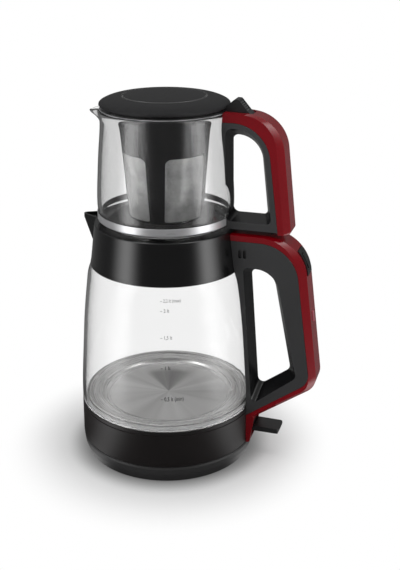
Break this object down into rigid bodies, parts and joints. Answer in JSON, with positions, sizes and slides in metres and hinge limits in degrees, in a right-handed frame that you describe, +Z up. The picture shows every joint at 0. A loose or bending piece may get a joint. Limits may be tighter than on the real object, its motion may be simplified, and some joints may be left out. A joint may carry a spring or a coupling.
{
  "type": "electric tea maker",
  "caption": "Glass electric kettle on a power base with a glass teapot, strainer and hinged lid standing on top; both have looped side handles.",
  "frame": {"origin": "centre of the power base on the surface it stands on", "axes": "+Z up, +X towards the handles, -X towards the spout, the object is symmetric about the XZ plane apart from small details"},
  "size_m": [0.2317, 0.1686, 0.3457],
  "materials": {
    "satin_black": "satin",
    "gloss_black": "glossy",
    "grip_black": "satin",
    "matt_black": "fine matt",
    "button_black": "satin",
    "gloss_red": "glossy",
    "clear_glass": "clear polished",
    "brushed_steel": "turned brush",
    "polished_steel": "polished",
    "mesh_steel": "fine mesh",
    "screw_steel": "plated",
    "brass": "bright",
    "element_aluminium": "as drawn",
    "clear_silicone": "translucent",
    "rubber_black": "matt",
    "lens_clear": "clear lens"
  },
  "bodies": {
    "power_base": {"base_shell": "satin_black", "base_underside": "satin_black", "base_foot_ring": "rubber_black", "base_screws": "screw_steel", "base_connector": "satin_black", "base_contacts": "brass"},
    "kettle": {"kettle_band": "satin_black", "kettle_bottom_cover": "satin_black", "kettle_bottom_screws": "screw_steel", "kettle_connector": "satin_black", "thermostat": "satin_black", "heating_element": "element_aluminium", "heater_plate": "brushed_steel", "plate_seal": "clear_silicone", "kettle_glass": "clear_glass", "kettle_collar": "gloss_black", "spout_filter": "satin_black", "kettle_lid_pin": "screw_steel", "kettle_handle_grip": "grip_black", "kettle_handle_cover": "gloss_red", "indicator_lens": "lens_clear", "switch_lever_pin": "screw_steel"},
    "kettle_lid": {"kettle_lid": "gloss_black", "kettle_lid_seal": "clear_silicone"},
    "lid_release_button": {"lid_release_button": "button_black"},
    "switch_lever": {"switch_lever": "button_black"},
    "teapot": {"teapot_glass": "clear_glass", "teapot_steel_band": "polished_steel", "teapot_handle_grip": "grip_black", "teapot_handle_cover": "gloss_red", "thumb_lever_pin": "screw_steel", "strainer_frame": "gloss_black", "strainer_rim": "polished_steel", "strainer_mesh": "mesh_steel"},
    "teapot_lid": {"teapot_lid": "matt_black", "thumb_lever": "button_black"}
  },
  "joints": [
    {"name": "kettle_lift", "type": "slide", "parent": "power_base", "child": "kettle", "axis": [0, 0, 1], "range_m": [0, 0.1]},
    {"name": "teapot_lift", "type": "slide", "parent": "kettle", "child": "teapot", "axis": [0, 0, 1], "range_m": [0, 0.2]},
    {"name": "teapot_lid_hinge", "type": "hinge", "parent": "teapot", "child": "teapot_lid", "pos_m": [0.0715, 0, 0.3308], "axis": [0, 1, 0], "range_deg": [0, 60]},
    {"name": "kettle_lid_hinge", "type": "hinge", "parent": "kettle", "child": "kettle_lid", "pos_m": [0.0616, 0, 0.2273], "axis": [0, 1, 0], "range_deg": [0, 75]},
    {"name": "lid_release_button_slide", "type": "slide", "parent": "kettle", "child": "lid_release_button", "axis": [-0.9063, 0, -0.4226], "range_m": [0, 0.0025], "stiffness_N_per_m": 400, "springref_m": -0.002},
    {"name": "switch_lever_hinge", "type": "hinge", "parent": "kettle", "child": "switch_lever", "pos_m": [0.0867, 0, 0.0308], "axis": [0, 1, 0], "range_deg": [0, 10]}
  ],
  "couplings": [
    {"joint": "kettle_lid_hinge", "follows": "teapot_lift", "rad_per_m": 6.5}
  ]
}
